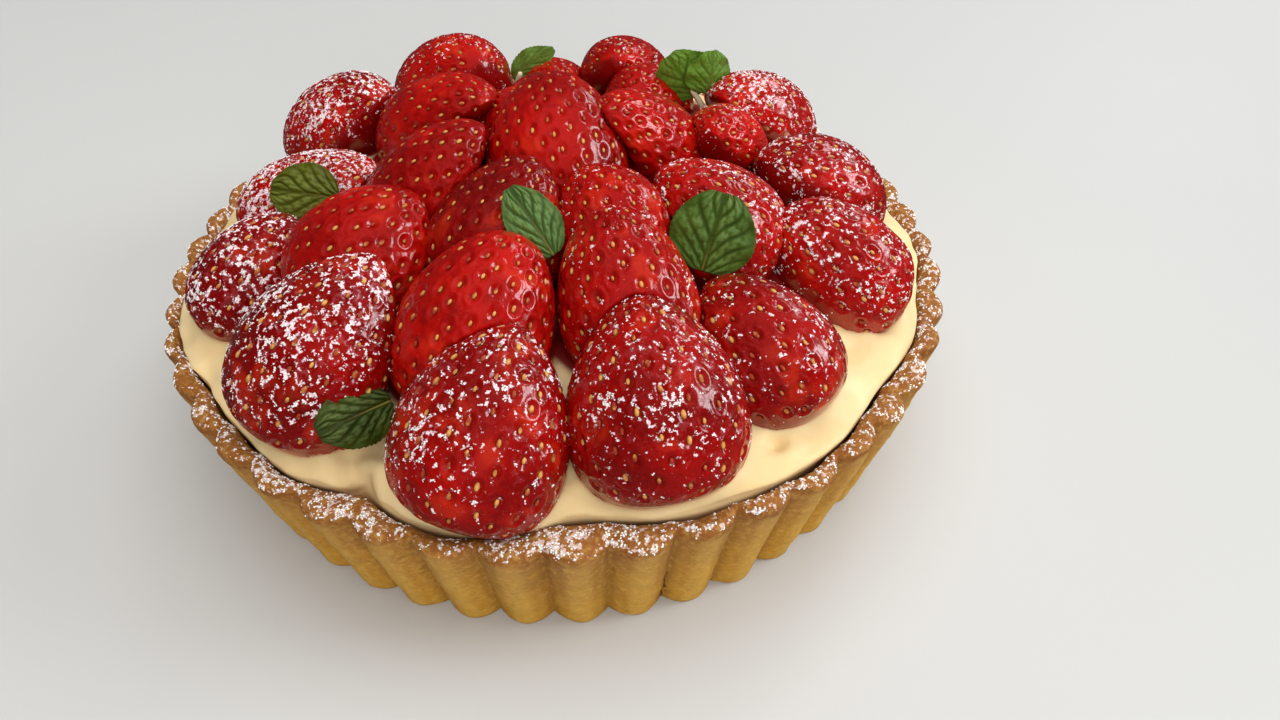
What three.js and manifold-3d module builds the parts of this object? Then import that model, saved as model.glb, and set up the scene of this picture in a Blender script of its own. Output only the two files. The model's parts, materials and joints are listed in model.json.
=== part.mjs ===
// Strawberry tart: a fluted shortcrust case filled with pastry cream, heaped with halved strawberries
// and dressed with mint. Millimetres, +Z up, origin at the bottom centre of the case.
// The front of the tart faces -Y. Azimuths are in degrees from +X, anticlockwise seen from above.
import * as THREE from "three";
import { mergeVertices } from "three/addons/utils/BufferGeometryUtils.js";
import Module from "manifold-3d";

const wasm = await Module();
wasm.setup();

const GAP = 0.3; // clearance between neighbouring pieces

// The case: baked in an 18 cm fluted tin. The wall's thickness is taken on the ridge of a flute.
const RIM_RADIUS = 90;
const BASE_RADIUS = 82.5;
const RIM_HEIGHT = 33;
const WALL_THICKNESS = 4.4;
const FLOOR_THICKNESS = 5;
const FLUTES = 46;
const FIRST_FLUTE = -155.1;
const FLUTE_DEPTH = 3;
const INNER_FLUTE_DEPTH = 0.8;
const RIDGE_ROUNDNESS = 0.85;
const STEPS_PER_FLUTE = 6;
// How far the rim sags, ripples and is crimped up and down, and how far below it its rounding starts.
const RIM_SAG = 0.9;
const RIM_RIPPLE = 0.7;
const RIM_CRIMP = 0.5;
const RIM_ROUNDING = 3;
// Where the rim was pressed thicker on its inside, or thinner: azimuth, extra thickness, and half the
// width in degrees.
const RIM_BULGES = [
  { at: -159, by: -1.5, spread: 12 },
  { at: -144, by: 1.2, spread: 5 },
  { at: -133, by: 0.9, spread: 5 },
  { at: -113, by: 3.4, spread: 6 },
  { at: -84, by: 4, spread: 10 },
  { at: -35, by: 2.4, spread: 8 },
  { at: -12, by: 1.2, spread: 6 },
  { at: 35, by: 2, spread: 9 },
  { at: 88, by: 1.6, spread: 12 },
  { at: 140, by: 1.8, spread: 8 },
];

// The pastry cream: its height at the rim, how far its dome rises above that in the middle, how flat
// the dome's top is, and its clearance from the wall.
const CREAM_EDGE_HEIGHT = 32.5;
const CREAM_RISE = 12.5;
const CREAM_FLATNESS = 3;
const CREAM_CLEARANCE = 0.8;
const CREAM_WAVE = 0.7;
const CREAM_SECTORS = FLUTES;
// The radii of the dome's rows, and the radius past which it follows the wall's waves.
const DOME_ROWS = [79, 70, 54];
const DOME_CALM = 60;
// Its rounded edge: steps below the edge height and in from the wall.
const CREAM_LIP = [
  { below: 5, inset: 0 },
  { below: 2, inset: 0 },
  { below: 0, inset: 1.2 },
];

// A halved strawberry: the rise of its back as a share of half its width, how blunt its shoulder is,
// and where along it the placing point lies, from the stalk end.
const BERRY_DEPTH = 0.9;
const BERRY_SHOULDER = 0.36;
const BERRY_MIDDLE = 0.45;
const STEPS_ALONG = 8;
const STEPS_OVER = 8;
const STEPS_UNDER = 2;

// The berries lie cut side down in three rings and a crown, tips up and towards the middle. A ring gives
// its usual berry: how far out and up its middle is, the lean of its length above level, swing sideways,
// roll about its length, length, width, how pointed the tip is, and how far the uneven cut left its
// underside swollen, as a share of half its width.
const RINGS = {
  outer: { out: 67, up: 42, lean: 40, swing: 0, roll: 0, long: 37, wide: 30, point: 0.62, swell: 0.4 },
  middle: { out: 45, up: 48, lean: 38, swing: 0, roll: 0, long: 34, wide: 30, point: 0.61, swell: 0.4 },
  inner: { out: 25, up: 52, lean: 42, swing: 0, roll: 0, long: 36, wide: 29, point: 0.62, swell: 0.4 },
  crown: { out: -2.5, up: 55.5, lean: 36, swing: 6, roll: 0, long: 36.5, wide: 32, point: 0.56, swell: 0.3 },
};

// Each berry by its azimuth and what sets it apart from its ring's usual one, from the front round.
const BERRIES = {
  outer: [
    { at: -97, out: 71, up: 43, lean: 47, swing: -19, roll: -17, long: 38, wide: 31.5, point: 0.68 },
    { at: -71, out: 68, up: 44, lean: 45, swing: -5, roll: 3, long: 38, wide: 33 },
    { at: -47, out: 64, up: 41, lean: 27, roll: -17, long: 34, swell: 0.7 },
    { at: -18, out: 66, swing: 7, roll: 7, long: 35, wide: 28, point: 0.58, swell: 1.2 },
    { at: 7, out: 61, up: 43, swing: 16, roll: -19, long: 36, swell: 0.7 },
    { at: 42, up: 41, swing: -3, roll: -3 },
    { at: 78, out: 68, lean: 42, long: 36, wide: 27.5, swell: 1 },
    { at: 119, out: 68, up: 43, swing: 12, roll: 3, wide: 32.5, swell: 1 },
    { at: 148, out: 68, up: 43, lean: 43, swing: 3, roll: -4, wide: 31, swell: 0.7 },
    { at: 175, out: 60, up: 40, lean: 31, roll: 10, long: 38, wide: 28.5 },
    { at: -159, out: 69, up: 40, lean: 38, swing: 25, roll: 21, long: 31, wide: 27, point: 0.56 },
    { at: -128, up: 45, lean: 44, swing: -6, roll: -7, long: 40, wide: 32.5 },
  ],
  middle: [
    { at: -104, out: 51, lean: 40, swing: -18, roll: -13, long: 38, point: 0.54 },
    { at: -69, up: 50, lean: 46, swing: -3, roll: 4, long: 35, wide: 28, point: 0.57 },
    { at: -26, out: 39, up: 50, lean: 41, swing: 10, long: 32, swell: 0.7 },
    { at: 26, out: 44, lean: 40, swing: 47, roll: 22, long: 32, wide: 22, swell: 0.8 },
    { at: 67, out: 52, up: 44, swing: 7, roll: -4, long: 33, wide: 24.5, point: 0.64 },
    { at: 95, out: 68, up: 37, lean: 35, swing: -4, wide: 23.5, point: 0.65 },
    { at: 142, out: 38, up: 50, swing: 6, roll: 8, long: 38 },
    { at: -144, out: 47, swing: 3, roll: -7, long: 33, wide: 32 },
    { at: 97, out: 39, up: 46, lean: 32, swing: 8, long: 32, wide: 26 },
    { at: 63, out: 31, up: 44, lean: 30, swing: -6, long: 29, wide: 24 },
  ],
  inner: [
    { at: -61, out: 26, up: 54, lean: 28, swing: -4, roll: 4, long: 27, wide: 25.5 },
    { at: 35, out: 23, lean: 46, swing: 21, roll: 26, long: 37, point: 0.65, swell: 0.7 },
    { at: -167, out: 28, up: 51, lean: 49, roll: 3, long: 37 },
    { at: -112, out: 26, lean: 39, swing: -2, roll: 7, long: 33, wide: 30.5 },
    { at: 116, out: 23, up: 50, lean: 38, swing: 4, long: 32, wide: 27 },
  ],
  crown: [{ at: -90 }],
};

// Mint leaves, thin and a little wavy. Each is laid by the place of its stalk end and its tip, and by
// the azimuth and height in degrees that its upper side faces. Then come its width, how round it is, how
// far its middle lifts, how much its halves fold down from the midrib, and where its stalk's foot stands.
const LEAF_THICKNESS = 0.8;
const LEAF_STEPS_ALONG = 5;
const LEAF_STEPS_ACROSS = 4;
const LEAF_RUFFLE = 0.35;
const LEAF_RUFFLES = 17;
const LEAF_SKEW = 0.85;
const STALK_RADIUS = 0.7;
const STALK_SIDES = 6;
const LEAVES = [
  {
    from: [-48, -7.9, 50.8],
    to: [-62.6, -7.4, 53],
    faces: [-92, 45],
    wide: 14,
    round: 0.6,
    lift: 0.8,
    fold: 0.05,
  },
  {
    from: [-18.2, 65, 43.8],
    to: [-5.6, 64, 52.6],
    faces: [-90, 30],
    wide: 8.5,
    round: 0.8,
    lift: 1.2,
    fold: 0.25,
    foot: [-19.8, 65.6, 37.9],
  },
  {
    from: [33.6, 41.6, 50.4],
    to: [25.4, 40.6, 61.4],
    faces: [-115, 35],
    wide: 16.5,
    round: 0.6,
    lift: 1,
    fold: 0.2,
    foot: [37.8, 42.8, 40.6],
  },
  {
    from: [35.9, 40.2, 51.7],
    to: [36.6, 41.2, 62.7],
    faces: [-60, 30],
    wide: 13.5,
    round: 0.65,
    lift: 1,
    fold: 0.3,
  },
  {
    from: [2.2, -36.4, 57.2],
    to: [-6.4, -28.6, 67.4],
    faces: [-72, 44],
    wide: 11,
    round: 0.65,
    lift: 0.8,
    fold: 0.05,
  },
  {
    from: [31.2, -33, 50.8],
    to: [35.4, -26, 64.6],
    faces: [-95, 35],
    wide: 17.5,
    round: 0.5,
    lift: 1.2,
    fold: 0.1,
  },
  {
    from: [-26, -63.4, 44.7],
    to: [-35.8, -74.1, 47.5],
    faces: [-68, 52],
    wide: 11.5,
    round: 0.6,
    lift: 0.6,
    fold: 0.3,
  },
];

const degrees = THREE.MathUtils.degToRad;

// A smooth uneven value round the tart, between about -1 and 1.
function unevenness(angle, waves, seed) {
  let sum = 0;
  for (let i = 0; i < 3; i += 1) {
    sum += Math.sin(angle * (waves + i * 2) + seed * (i + 1.7)) / (i + 1);
  }
  return sum / 1.6;
}

// Merges doubled points and drops collapsed faces, leaving one closed mesh.
function closed(geometry) {
  geometry.deleteAttribute("normal");
  geometry.deleteAttribute("uv");
  const merged = mergeVertices(geometry, 1e-3);
  const corners = merged.index.array;
  const kept = [];
  for (let i = 0; i < corners.length; i += 3) {
    const [a, b, c] = [corners[i], corners[i + 1], corners[i + 2]];
    if (a !== b && b !== c && c !== a) {
      kept.push(a, b, c);
    }
  }
  merged.setIndex(kept);
  return merged;
}

function toSolid(geometry) {
  const vertProperties = Float32Array.from(geometry.attributes.position.array);
  const triVerts = Uint32Array.from(geometry.index.array);
  return new wasm.Manifold(new wasm.Mesh({ numProp: 3, vertProperties, triVerts }));
}

function toGeometry(solid) {
  const mesh = solid.getMesh();
  const geometry = new THREE.BufferGeometry();
  geometry.setAttribute("position", new THREE.BufferAttribute(mesh.vertProperties, 3));
  geometry.setIndex(Array.from(mesh.triVerts));
  return largestBody(geometry);
}

// Keeps the piece with the most faces and drops loose scraps.
function largestBody(geometry) {
  const corners = geometry.index.array;
  const leader = Array.from({ length: geometry.attributes.position.count }, (_, i) => i);
  const find = (i) => {
    while (leader[i] !== i) {
      leader[i] = leader[leader[i]];
      i = leader[i];
    }
    return i;
  };
  for (let i = 0; i < corners.length; i += 3) {
    leader[find(corners[i])] = find(corners[i + 1]);
    leader[find(corners[i + 1])] = find(corners[i + 2]);
  }
  const sizes = new Map();
  for (const corner of corners) {
    sizes.set(find(corner), (sizes.get(find(corner)) ?? 0) + 1);
  }
  const biggest = [...sizes].sort((a, b) => b[1] - a[1])[0][0];
  const kept = [];
  for (let i = 0; i < corners.length; i += 3) {
    if (find(corners[i]) === biggest) {
      kept.push(corners[i], corners[i + 1], corners[i + 2]);
    }
  }
  geometry.setIndex(kept);
  return geometry;
}

// A closed shape turned round the tart's axis. The first and last of its rows lie on the axis, at their
// heights, and place(angle, row) gives each other row its radius and height at that angle.
function turned(rows, segments, start, place) {
  const last = rows.length - 1;
  const points = rows.map((row, i) => new THREE.Vector2(i % last === 0 ? 0 : 1, row.height));
  const geometry = new THREE.LatheGeometry(points, segments, start + Math.PI / 2);
  geometry.rotateX(Math.PI / 2);
  const position = geometry.attributes.position;
  for (let i = 0; i < position.count; i += 1) {
    const step = i % rows.length;
    if (step % last !== 0) {
      const angle = Math.atan2(position.getY(i), position.getX(i));
      const [radius, height] = place(angle, rows[step]);
      position.setXYZ(i, radius * Math.cos(angle), radius * Math.sin(angle), height);
    }
  }
  return closed(geometry);
}

// 1 on the ridge of a flute, 0 in the sharp valley between two.
function fluteRidge(angle) {
  const phase = ((angle - degrees(FIRST_FLUTE)) * FLUTES) / 2;
  return Math.abs(Math.cos(phase)) ** RIDGE_ROUNDNESS;
}

// The rim's own height: it sags and rises with the flutes' pressing.
function rimRise(angle) {
  const sag = unevenness(angle, 2, 4.2) * RIM_SAG;
  const ripple = unevenness(angle, 17, 1.3) * RIM_RIPPLE;
  return sag + ripple + fluteRidge(angle) * RIM_CRIMP;
}

// Extra thickness on the inside of the rim.
function rimBulge(angle) {
  let sum = 0;
  for (const { at, by, spread } of RIM_BULGES) {
    const away = THREE.MathUtils.euclideanModulo(angle - degrees(at) + Math.PI, 2 * Math.PI) - Math.PI;
    sum += by * Math.exp(-((away / degrees(spread)) ** 2));
  }
  return sum;
}

// Radius of the wall's outside at a height, on the ridge of a flute.
function ridgeRadius(height) {
  return BASE_RADIUS + ((RIM_RADIUS - BASE_RADIUS) * height) / RIM_HEIGHT;
}

// Radius of the wall's inside: valley is 0 on the ridge of a flute and 1 between two.
function insideRadius(angle, height, valley) {
  const up = height / RIM_HEIGHT;
  return ridgeRadius(height) - WALL_THICKNESS - (INNER_FLUTE_DEPTH * valley + rimBulge(angle)) * up;
}

function crustGeometry() {
  // across goes from 0 on the wall's inside to 1 on its outside; rise is the share of the rim's rise.
  const rows = [
    { height: 0 },
    { height: 0, across: 1, rise: 0 },
    { height: RIM_HEIGHT - RIM_ROUNDING, across: 1, rise: 0.9 },
    { height: RIM_HEIGHT - RIM_ROUNDING / 3, across: 0.85, rise: 1 },
    { height: RIM_HEIGHT, across: 0.5, rise: 1 },
    { height: RIM_HEIGHT - RIM_ROUNDING / 4, across: 0.1, rise: 1 },
    { height: RIM_HEIGHT - RIM_ROUNDING, across: 0, rise: 0.9 },
    { height: FLOOR_THICKNESS, across: 0, rise: 0 },
    { height: FLOOR_THICKNESS },
  ];
  const start = degrees(FIRST_FLUTE);
  return turned(rows, FLUTES * STEPS_PER_FLUTE, start, (angle, { height, across, rise }) => {
    const valley = 1 - fluteRidge(angle);
    const outside = ridgeRadius(height) - FLUTE_DEPTH * valley;
    const inside = insideRadius(angle, height, valley);
    return [inside + (outside - inside) * across, height + rimRise(angle) * rise];
  });
}

// Height of the cream's dome at a distance from the tart's axis.
function creamHeight(radius) {
  return CREAM_EDGE_HEIGHT + CREAM_RISE * (1 - (radius / RIM_RADIUS) ** CREAM_FLATNESS);
}

function creamGeometry() {
  // inset is how far inside the wall a row of the edge lies; a row of the dome has a radius instead.
  const bottom = FLOOR_THICKNESS + GAP;
  const rows = [{ height: bottom }, { height: bottom, inset: 0 }];
  for (const { below, inset } of CREAM_LIP) {
    rows.push({ height: CREAM_EDGE_HEIGHT - below, inset });
  }
  for (const radius of DOME_ROWS) {
    rows.push({ height: creamHeight(radius), radius });
  }
  rows.push({ height: creamHeight(0) });
  return turned(rows, CREAM_SECTORS, degrees(FIRST_FLUTE), (angle, { height, inset, radius }) => {
    const wave = unevenness(angle, 5, 0.7) * CREAM_WAVE;
    if (radius) {
      const share = radius > DOME_CALM ? CREAM_WAVE : 0;
      return [radius - rimBulge(angle) * share, height + wave * share];
    }
    const wall = insideRadius(angle, height, 1) - CREAM_CLEARANCE;
    return [wall - inset, height > bottom ? height + wave : height];
  });
}

// Half a strawberry in its own frame: rim of its cut face on XY, stalk end at -Y, tip at +Y, back of the
// berry up +Z. extra is added all round, to cut its neighbours clear of it.
function halfBerryGeometry(berry, extra) {
  const around = STEPS_OVER + STEPS_UNDER;
  const geometry = new THREE.SphereGeometry(1, around, STEPS_ALONG);
  const position = geometry.attributes.position;
  const long = berry.long + 2 * extra;
  const halfWide = berry.wide / 2 + extra;
  const widest = BERRY_SHOULDER / (BERRY_SHOULDER + berry.point);
  const girth = (t) => t ** BERRY_SHOULDER * (1 - t) ** berry.point;
  for (let i = 0; i < position.count; i += 1) {
    const row = Math.floor(i / (around + 1));
    const column = i % (around + 1);
    const t = (1 - Math.cos((Math.PI * row) / STEPS_ALONG)) / 2;
    const over = column <= STEPS_OVER;
    const under = column - STEPS_OVER;
    const angle = over ? (Math.PI * column) / STEPS_OVER : Math.PI * (1 + under / STEPS_UNDER);
    const half = (halfWide * girth(t)) / girth(widest);
    const depth = Math.sin(angle) > 0 ? BERRY_DEPTH : berry.swell;
    position.setXYZ(i, half * Math.cos(angle), (t - BERRY_MIDDLE) * long, half * depth * Math.sin(angle));
  }
  return closed(geometry);
}

// The placing of a berry: X across it, Y from its stalk end to its tip, Z out of its back.
function berryPlace(berry) {
  const at = degrees(berry.at);
  const heading = at + Math.PI + degrees(berry.swing);
  const lean = degrees(berry.lean);
  const roll = degrees(berry.roll);
  const along = new THREE.Vector3(
    Math.cos(lean) * Math.cos(heading),
    Math.cos(lean) * Math.sin(heading),
    Math.sin(lean),
  );
  const level = new THREE.Vector3(Math.sin(heading), -Math.cos(heading), 0);
  const across = level.applyAxisAngle(along, -roll);
  const out = new THREE.Vector3().crossVectors(across, along);
  const place = new THREE.Matrix4().makeBasis(across, along, out);
  return place.setPosition(berry.out * Math.cos(at), berry.out * Math.sin(at), berry.up);
}

// All the berries from the front of the tart to its back, since where two press together the one in front
// keeps its shape.
function listBerries() {
  const list = [];
  for (const [ring, usual] of Object.entries(RINGS)) {
    BERRIES[ring].forEach((own, index) => {
      const berry = { ...usual, ...own };
      berry.name = ring === "crown" ? "berry_crown" : `berry_${ring}_${index + 1}`;
      berry.place = berryPlace(berry);
      berry.solid = toSolid(halfBerryGeometry(berry, 0).applyMatrix4(berry.place));
      berry.cutter = toSolid(halfBerryGeometry(berry, GAP).applyMatrix4(berry.place));
      list.push(berry);
    });
  }
  const back = (berry) => new THREE.Vector3().setFromMatrixPosition(berry.place).y;
  return list.sort((a, b) => back(a) - back(b));
}

// A sheet made solid: its back is its front moved down by the thickness, with the same triangles.
function thickened(sheet, thickness) {
  const front = Array.from(sheet.attributes.position.array);
  const back = front.map((value, i) => (i % 3 === 2 ? value - thickness : value));
  const count = front.length / 3;
  const corners = sheet.index.array;
  const edges = new Set();
  const faces = [];
  for (let i = 0; i < corners.length; i += 3) {
    const [a, b, c] = [corners[i], corners[i + 1], corners[i + 2]];
    faces.push(a, b, c, a + count, c + count, b + count);
    edges.add(`${a} ${b}`).add(`${b} ${c}`).add(`${c} ${a}`);
  }
  for (const edge of edges) {
    const [a, b] = edge.split(" ").map(Number);
    if (!edges.has(`${b} ${a}`)) {
      faces.push(b, a, a + count, b, a + count, b + count);
    }
  }
  const geometry = new THREE.BufferGeometry();
  geometry.setAttribute("position", new THREE.Float32BufferAttribute(front.concat(back), 3));
  geometry.setIndex(faces);
  return geometry;
}

// A leaf in its own frame: stalk end at the origin, tip along +Y, upper side up +Z.
function leafGeometry(leaf, long) {
  const sheet = new THREE.PlaneGeometry(2, 1, LEAF_STEPS_ACROSS, LEAF_STEPS_ALONG);
  const position = sheet.attributes.position;
  for (let i = 0; i < position.count; i += 1) {
    const side = position.getX(i);
    const t = position.getY(i) + 0.5;
    // Just short of 0 and 1, so that the blade keeps a little width at both ends.
    const girth = Math.sin(Math.PI * (0.03 + 0.94 * t ** LEAF_SKEW)) ** leaf.round;
    const half = (leaf.wide / 2) * girth;
    const bow = leaf.lift * 4 * t * (1 - t);
    const droop = leaf.fold * half * Math.abs(side);
    const ruffle = LEAF_RUFFLE * Math.abs(side) * Math.sin(t * LEAF_RUFFLES + side);
    position.setXYZ(i, side * half, t * long, bow - droop + ruffle);
  }
  return thickened(sheet, LEAF_THICKNESS);
}

// A leaf's round stalk, from its foot to the blade, with extra all round and at both ends.
function stalkGeometry(leaf, extra) {
  const foot = new THREE.Vector3(...leaf.foot);
  const top = new THREE.Vector3(...leaf.from);
  const radius = STALK_RADIUS + extra;
  const geometry = new THREE.CylinderGeometry(radius, radius, foot.distanceTo(top) + 2 * extra, STALK_SIDES);
  const up = new THREE.Vector3(0, 1, 0);
  const turn = new THREE.Quaternion().setFromUnitVectors(up, top.clone().sub(foot).normalize());
  geometry.applyQuaternion(turn);
  geometry.translate(...foot.add(top).divideScalar(2).toArray());
  return closed(geometry);
}

// The placing of a leaf: X across it, Y from its stalk end to its tip, Z out of its upper side.
function leafPlace(leaf) {
  const [azimuth, height] = leaf.faces.map(degrees);
  const level = new THREE.Vector3(Math.cos(azimuth), Math.sin(azimuth), 0);
  const facing = level.multiplyScalar(Math.cos(height)).setZ(Math.sin(height));
  const from = new THREE.Vector3(...leaf.from);
  const along = new THREE.Vector3(...leaf.to).sub(from).normalize();
  const across = new THREE.Vector3().crossVectors(along, facing).normalize();
  const upper = new THREE.Vector3().crossVectors(across, along);
  return new THREE.Matrix4().makeBasis(across, along, upper).setPosition(from);
}

function leafSolid(leaf, place) {
  const from = new THREE.Vector3(...leaf.from);
  const long = from.distanceTo(new THREE.Vector3(...leaf.to));
  const blade = toSolid(leafGeometry(leaf, long).applyMatrix4(place));
  if (!leaf.foot) {
    return blade;
  }
  return blade.add(toSolid(stalkGeometry(leaf, 0)));
}

function material(name, color, roughness) {
  return new THREE.MeshStandardMaterial({ name, color, roughness, metalness: 0 });
}

// Adds a solid made in the tart's frame as a mesh with its own placing.
function addPiece(group, name, geometry, look, place = new THREE.Matrix4()) {
  const mesh = new THREE.Mesh(geometry.applyMatrix4(place.clone().invert()), look);
  mesh.name = name;
  mesh.applyMatrix4(place);
  group.add(mesh);
}

const tart = new THREE.Group();
const berries = listBerries();
const crustLook = material("crust", 0xb8813f, 0.8);
const creamLook = material("cream", 0xf0dfae, 0.45);
const berryLook = material("strawberry", 0xa81410, 0.25);
const mintLook = material("mint", 0x3d6b22, 0.55);

addPiece(tart, "crust", crustGeometry(), crustLook);

let creamSolid = toSolid(creamGeometry());
for (const berry of berries) {
  creamSolid = creamSolid.subtract(berry.cutter);
}
for (const leaf of LEAVES.filter(({ foot }) => foot)) {
  creamSolid = creamSolid.subtract(toSolid(stalkGeometry(leaf, GAP)));
}
addPiece(tart, "cream", toGeometry(creamSolid), creamLook);

berries.forEach((berry, index) => {
  let solid = berry.solid;
  for (const nearer of berries.slice(0, index)) {
    solid = solid.subtract(nearer.cutter);
  }
  addPiece(tart, berry.name, toGeometry(solid), berryLook, berry.place);
});

LEAVES.forEach((leaf, index) => {
  const place = leafPlace(leaf);
  let solid = leafSolid(leaf, place);
  for (const berry of berries) {
    solid = solid.subtract(berry.cutter);
  }
  addPiece(tart, `mint_${index + 1}`, toGeometry(solid), mintLook, place);
});

export default tart;
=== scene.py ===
# A strawberry tart: a fluted shortcrust case, pastry cream, halved strawberries, mint and sugar.
# Metres, +Z up, the front of the tart towards -Y. Azimuths are degrees from +X, anticlockwise from above.
import json
import math

import bmesh
import bpy
import numpy as np
from mathutils import Matrix, Vector

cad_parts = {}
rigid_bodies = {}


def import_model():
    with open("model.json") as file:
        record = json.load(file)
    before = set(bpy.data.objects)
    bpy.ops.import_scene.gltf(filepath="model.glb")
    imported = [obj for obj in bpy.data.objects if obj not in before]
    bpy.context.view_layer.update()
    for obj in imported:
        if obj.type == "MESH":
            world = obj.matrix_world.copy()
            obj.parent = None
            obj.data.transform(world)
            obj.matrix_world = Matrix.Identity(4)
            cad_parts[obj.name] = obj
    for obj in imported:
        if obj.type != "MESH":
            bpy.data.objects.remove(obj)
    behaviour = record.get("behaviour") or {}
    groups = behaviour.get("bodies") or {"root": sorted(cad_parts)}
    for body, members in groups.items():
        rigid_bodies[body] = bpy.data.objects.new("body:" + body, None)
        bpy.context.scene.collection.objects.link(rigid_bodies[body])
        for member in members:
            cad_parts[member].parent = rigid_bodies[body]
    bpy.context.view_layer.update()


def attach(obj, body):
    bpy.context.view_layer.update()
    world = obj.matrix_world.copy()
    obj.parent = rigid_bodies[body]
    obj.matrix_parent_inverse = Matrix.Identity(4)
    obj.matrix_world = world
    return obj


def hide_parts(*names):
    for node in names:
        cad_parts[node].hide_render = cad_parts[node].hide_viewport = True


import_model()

# ---- The table, the light and the camera ----
# The tart stands on a pale matt table. A broad window shines from the right and a smaller one from the
# right and behind, the ceiling and the pale walls fill the shade, and the camera looks down on the front.
MM = 0.001
LOOK_AT = Vector((18.9, -5.7, 0)) * MM
CAMERA_AWAY = 235.5 * MM
CAMERA_UP = math.radians(43.65)
CAMERA_ROLL = math.radians(-0.35)
FRAME_WIDTH = 1280
LENS_IN_PIXELS = 900
TABLE_REACH = 3


def colour(red, green, blue):
    """A shader colour from its 0 to 255 screen values."""
    values = (red / 255, green / 255, blue / 255)
    linear = [v / 12.92 if v < 0.04045 else ((v + 0.055) / 1.055) ** 2.4 for v in values]
    return (*linear, 1)


class Wire:
    """An output in a node tree, to be used in sums: adding to one, or taking its sine, adds a Math node."""

    def __init__(self, tree, socket=None):
        self.tree = tree
        self.socket = socket

    def node(self, kind, settings=(), links=(), out=0):
        """Adds a node: its settings first, then the value or the wire of each of its sockets."""
        node = self.tree.nodes.new(kind)
        for name, value in dict(settings).items():
            setattr(node, name, value)
        for name, value in dict(links).items():
            if isinstance(value, Wire):
                self.tree.links.new(value.socket, node.inputs[name])
            else:
                node.inputs[name].default_value = value
        return Wire(self.tree, node.outputs[out])

    def output(self, name):
        """Another output of the node that this wire leaves."""
        return Wire(self.tree, self.socket.node.outputs[name])

    def math(self, operation, *others):
        return self.node("ShaderNodeMath", {"operation": operation}, enumerate((self, *others)))

    def vector(self, operation, *others):
        out = "Value" if operation in ("LENGTH", "DISTANCE", "DOT_PRODUCT") else "Vector"
        links = enumerate((self, *others))
        return self.node("ShaderNodeVectorMath", {"operation": operation}, links, out)

    def scale(self, direction):
        """A direction or a colour, this many times as long."""
        return self.node("ShaderNodeVectorMath", {"operation": "SCALE"}, {0: direction, 3: self})

    def parts(self):
        """Wires of the x, y and z of a place or a direction."""
        split = self.node("ShaderNodeSeparateXYZ", {}, {0: self})
        return [split.output(axis) for axis in "XYZ"]

    def __add__(self, other):
        return self.math("ADD", other)

    def __sub__(self, other):
        return self.math("SUBTRACT", other)

    def __rsub__(self, other):
        return self.node("ShaderNodeMath", {"operation": "SUBTRACT"}, {0: other, 1: self})

    def __mul__(self, other):
        return self.math("MULTIPLY", other)

    def __truediv__(self, other):
        return self.math("DIVIDE", other)

    def __rtruediv__(self, other):
        return self.node("ShaderNodeMath", {"operation": "DIVIDE"}, {0: other, 1: self})

    def __pow__(self, other):
        return self.math("POWER", other)

    def __neg__(self):
        return self.math("MULTIPLY", -1)

    __radd__ = __add__
    __rmul__ = __mul__

    def ramp(self, low, high):
        """0 below low, 1 above high and smooth between."""
        ends = {"Value": self, "From Min": low, "From Max": high}
        return self.node("ShaderNodeMapRange", {"interpolation_type": "SMOOTHSTEP"}, ends)

    def noise(self, size, detail=2, roughness=0.5):
        """Cloudy unevenness round 0.5, whose lumps are of this size in metres."""
        settings = {"Vector": self, "Scale": 1 / size, "Detail": detail, "Roughness": roughness}
        return self.node("ShaderNodeTexNoise", {}, settings)

    def tint(self, under, over):
        """Two colours mixed by this wire: under where it is 0, over where it is 1."""
        return self.node("ShaderNodeMix", {"data_type": "RGBA"}, {0: self, 6: under, 7: over}, 2)

    def into(self, shader, socket):
        self.tree.links.new(self.socket, shader.inputs[socket])


def new_material(name, constants):
    """A material, a wire of the place on the object, and its shader with its constant values."""
    material = bpy.data.materials.new(name)
    material.use_nodes = True
    shader = material.node_tree.nodes["Principled BSDF"]
    for socket, value in constants.items():
        shader.inputs[socket].default_value = value
    here = Wire(material.node_tree).node("ShaderNodeTexCoord", out="Object")
    return material, here, shader


def relief(here, height, depth):
    """The normal of a surface whose fine relief goes from 0 to depth as the height goes from 0 to 1."""
    return here.node("ShaderNodeBump", {}, {"Strength": 1, "Distance": depth, "Height": height})


def new_mesh(name, points, faces=()):
    mesh = bpy.data.meshes.new(name)
    mesh.from_pydata(points, [], faces)
    return mesh


def new_object(name, mesh):
    thing = bpy.data.objects.new(name, mesh)
    bpy.context.scene.collection.objects.link(thing)
    return thing


def softbox(name, place, size, power, tone, mirrored):
    """A square area light of this size, turned to the middle of the tart. A matt wall isn't mirrored."""
    light = bpy.data.lights.new(name, "AREA")
    light.size = size
    light.energy = power
    light.color = tone
    lamp = new_object(name, light)
    lamp.location = place
    lamp.rotation_euler = (LOOK_AT - lamp.location).to_track_quat("-Z", "Y").to_euler()
    lamp.visible_glossy = mirrored


softbox("window", (1.9, 0.1, 1.12), 0.8, 20, (0.93, 0.975, 1), True)
softbox("far window", (1.2, 1.7, 1.3), 0.6, 6, (0.95, 0.98, 1), True)
softbox("ceiling", (0.2, 0.1, 2), 2.5, 47.5, (1, 0.98, 0.95), False)
softbox("front wall", (0.3, -1.6, 1), 1.5, 24, (1, 0.96, 0.92), False)
softbox("back wall", (0.5, 2.4, 0.8), 2, 13, (1, 0.99, 0.97), False)

world = bpy.data.worlds.new("pale room")
world.use_nodes = True
room = world.node_tree.nodes["Background"].inputs
room["Color"].default_value = colour(236, 234, 230)
room["Strength"].default_value = 0.05
bpy.context.scene.world = world
bpy.context.scene.view_settings.view_transform = "Standard"

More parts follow.
